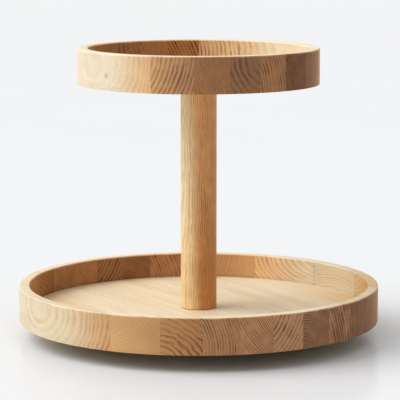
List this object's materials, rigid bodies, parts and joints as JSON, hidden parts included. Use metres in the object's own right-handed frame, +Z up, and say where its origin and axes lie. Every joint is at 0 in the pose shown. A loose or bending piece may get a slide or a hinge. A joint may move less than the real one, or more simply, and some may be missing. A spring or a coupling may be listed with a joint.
{
  "type": "lazy susan turntable",
  "caption": "Tiered round wooden tray stand: two edge-glued, straight-walled trays on a plain post, turning on a hidden ball-race base.",
  "frame": {"origin": "on the table, under the middle of the base, at the soles of the feet", "axes": "+Z up along the turning axis, -Y towards the picture's viewer, +X to the viewer's right"},
  "size_m": [0.381, 0.381, 0.305],
  "materials": {
    "tray_wood": "oiled pale hardwood boards",
    "post_wood": "oiled pale hardwood",
    "base_wood": "plain sealed plywood",
    "insert_brass": "turned brass",
    "fastener_steel": "zinc plated",
    "race_steel": "zinc-plated pressed sheet",
    "ball_steel": "polished",
    "cage_plastic": "natural nylon",
    "foot_rubber": "matte black"
  },
  "bodies": {
    "base": {"base_disc": "base_wood", "rubber_foot_1": "foot_rubber", "rubber_foot_2": "foot_rubber", "rubber_foot_3": "foot_rubber", "rubber_foot_4": "foot_rubber", "lower_race_plate": "race_steel", "base_screws": "fastener_steel"},
    "cage": {"ball_cage": "cage_plastic", "bearing_balls": "ball_steel"},
    "turntable": {"lower_board_01": "tray_wood", "lower_board_02": "tray_wood", "lower_board_03": "tray_wood", "lower_board_04": "tray_wood", "lower_board_05": "tray_wood", "lower_board_06": "tray_wood", "lower_board_07": "tray_wood", "lower_board_08": "tray_wood", "lower_board_09": "tray_wood", "lower_board_10": "tray_wood", "lower_board_11": "tray_wood", "lower_board_12": "tray_wood", "upper_board_01": "tray_wood", "upper_board_02": "tray_wood", "upper_board_03": "tray_wood", "upper_board_04": "tray_wood", "upper_board_05": "tray_wood", "upper_board_06": "tray_wood", "upper_board_07": "tray_wood", "upper_board_08": "tray_wood", "post": "post_wood", "post_foot_insert": "insert_brass", "post_head_insert": "insert_brass", "upper_tray_insert": "insert_brass", "post_bolt": "fastener_steel", "bolt_washer": "fastener_steel", "joining_stud": "fastener_steel", "tray_screws": "fastener_steel", "upper_race_plate": "race_steel"}
  },
  "joints": [
    {"name": "turntable_spin", "type": "hinge", "parent": "base", "child": "turntable", "pos_m": [0, 0, 0], "axis": [0, 0, 1], "continuous": true},
    {"name": "cage_spin", "type": "hinge", "parent": "base", "child": "cage", "pos_m": [0, 0, 0], "axis": [0, 0, 1], "continuous": true}
  ],
  "couplings": [
    {"joint": "cage_spin", "follows": "turntable_spin", "ratio": 0.5}
  ]
}
